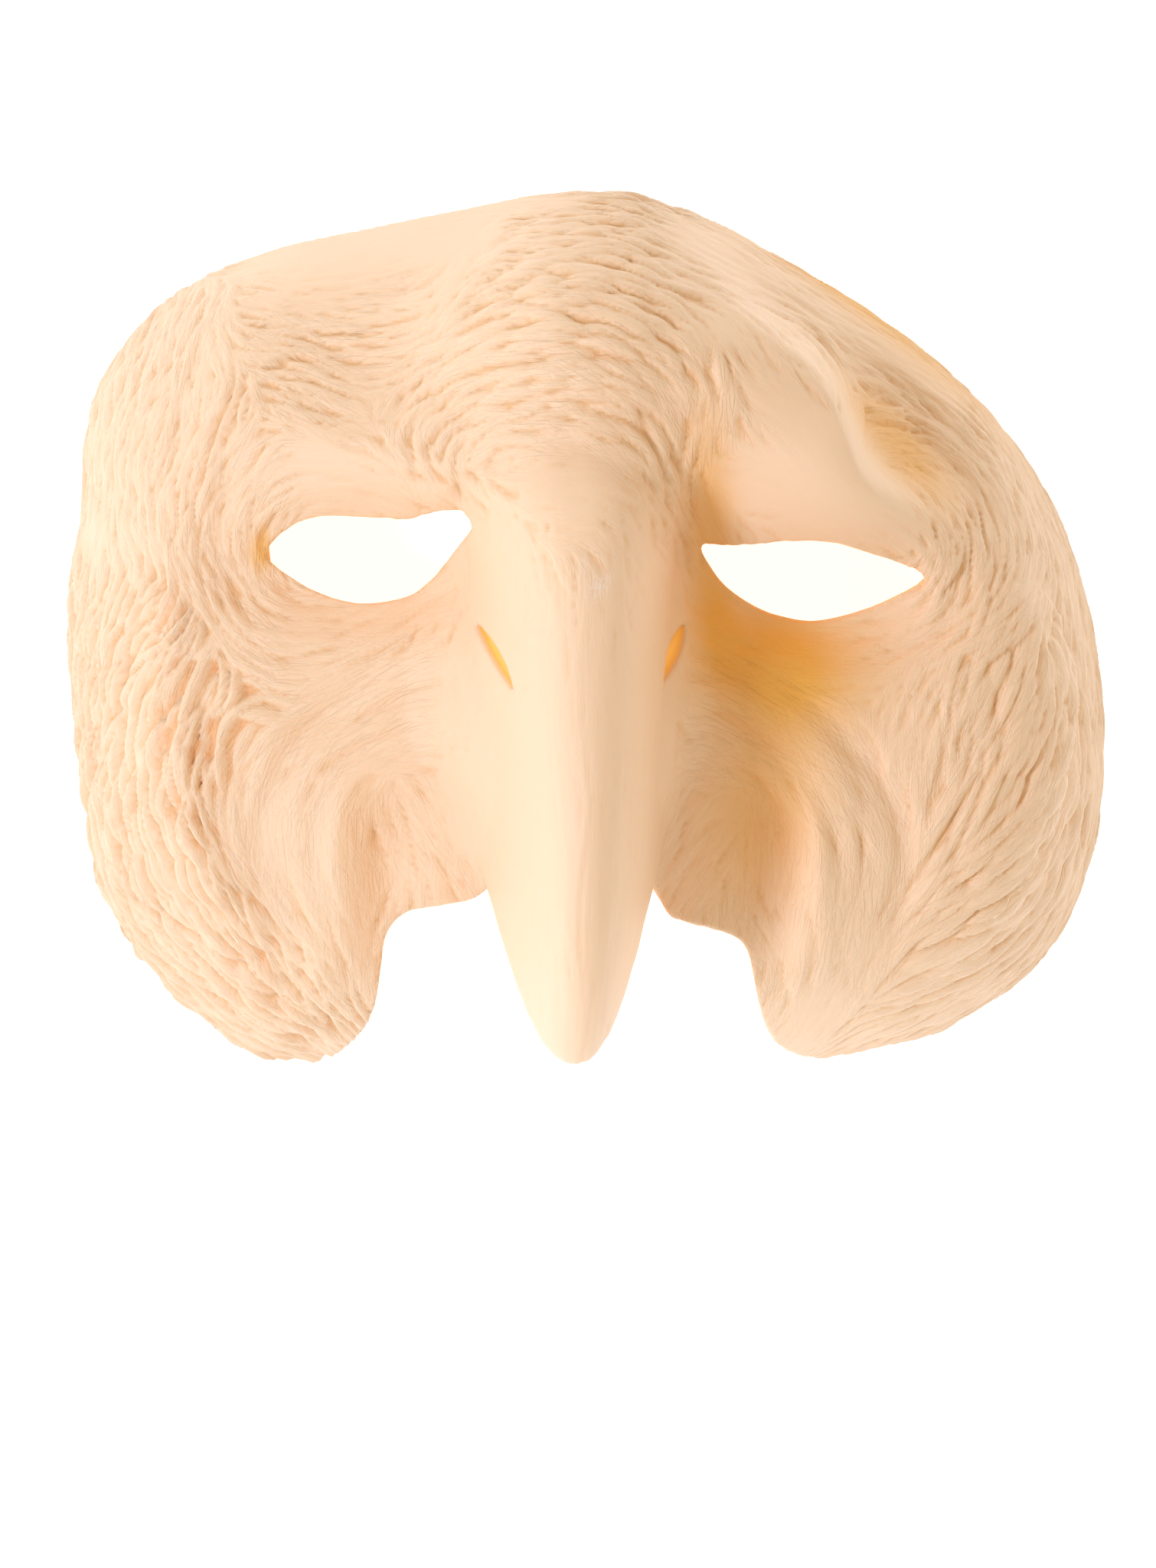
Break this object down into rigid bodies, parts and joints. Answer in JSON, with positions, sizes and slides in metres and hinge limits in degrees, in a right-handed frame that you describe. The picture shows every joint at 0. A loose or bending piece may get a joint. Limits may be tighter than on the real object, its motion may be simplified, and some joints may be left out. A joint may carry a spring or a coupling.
{
  "type": "latex parrot mask",
  "caption": "Half-face latex mask moulded as a parrot's head, with a long hooked beak, eye holes, nostril slits and wrinkled, feathered skin.",
  "frame": {"origin": "on the plane that the rim rests on, under the middle of the mask's bounding box", "axes": "+Z out of the face, +X to the right as one looks down on the face, +Y up the face to the forehead"},
  "size_m": [0.1612, 0.1326, 0.074],
  "materials": {
    "latex": "matte cream latex, warmer in the folds"
  },
  "bodies": {
    "root": {"latex_mask": "latex"}
  },
  "joints": []
}
